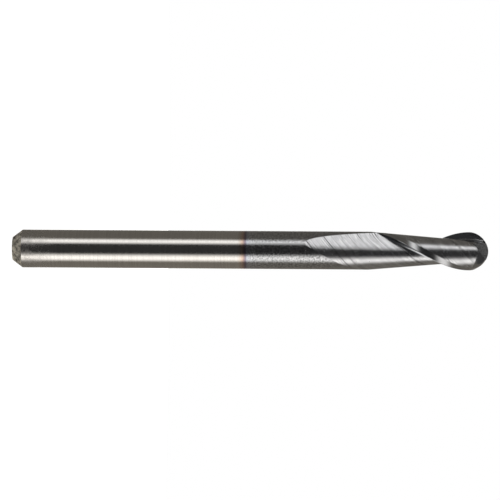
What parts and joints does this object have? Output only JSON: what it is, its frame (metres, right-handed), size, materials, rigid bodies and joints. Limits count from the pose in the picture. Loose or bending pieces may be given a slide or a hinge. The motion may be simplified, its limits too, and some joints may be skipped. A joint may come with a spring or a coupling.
{
  "type": "ball nose end mill",
  "caption": "Solid carbide ball nose end mill: round shank with a chamfered end, helical flutes with relieved teeth, and a ball end for milling curved surfaces.",
  "frame": {"origin": "middle of the flat end face of the shank, on the tool's axis", "axes": "+Z along the tool's axis from the shank end to the ball; +X through the first cutting edge at the widest part of the ball"},
  "size_m": [0.006, 0.006, 0.075],
  "materials": {
    "carbide": "solid tungsten carbide, ground bare on the shank, with a dark violet-grey coating on the cutting half"
  },
  "bodies": {
    "root": {"end_mill": "carbide"}
  },
  "joints": []
}
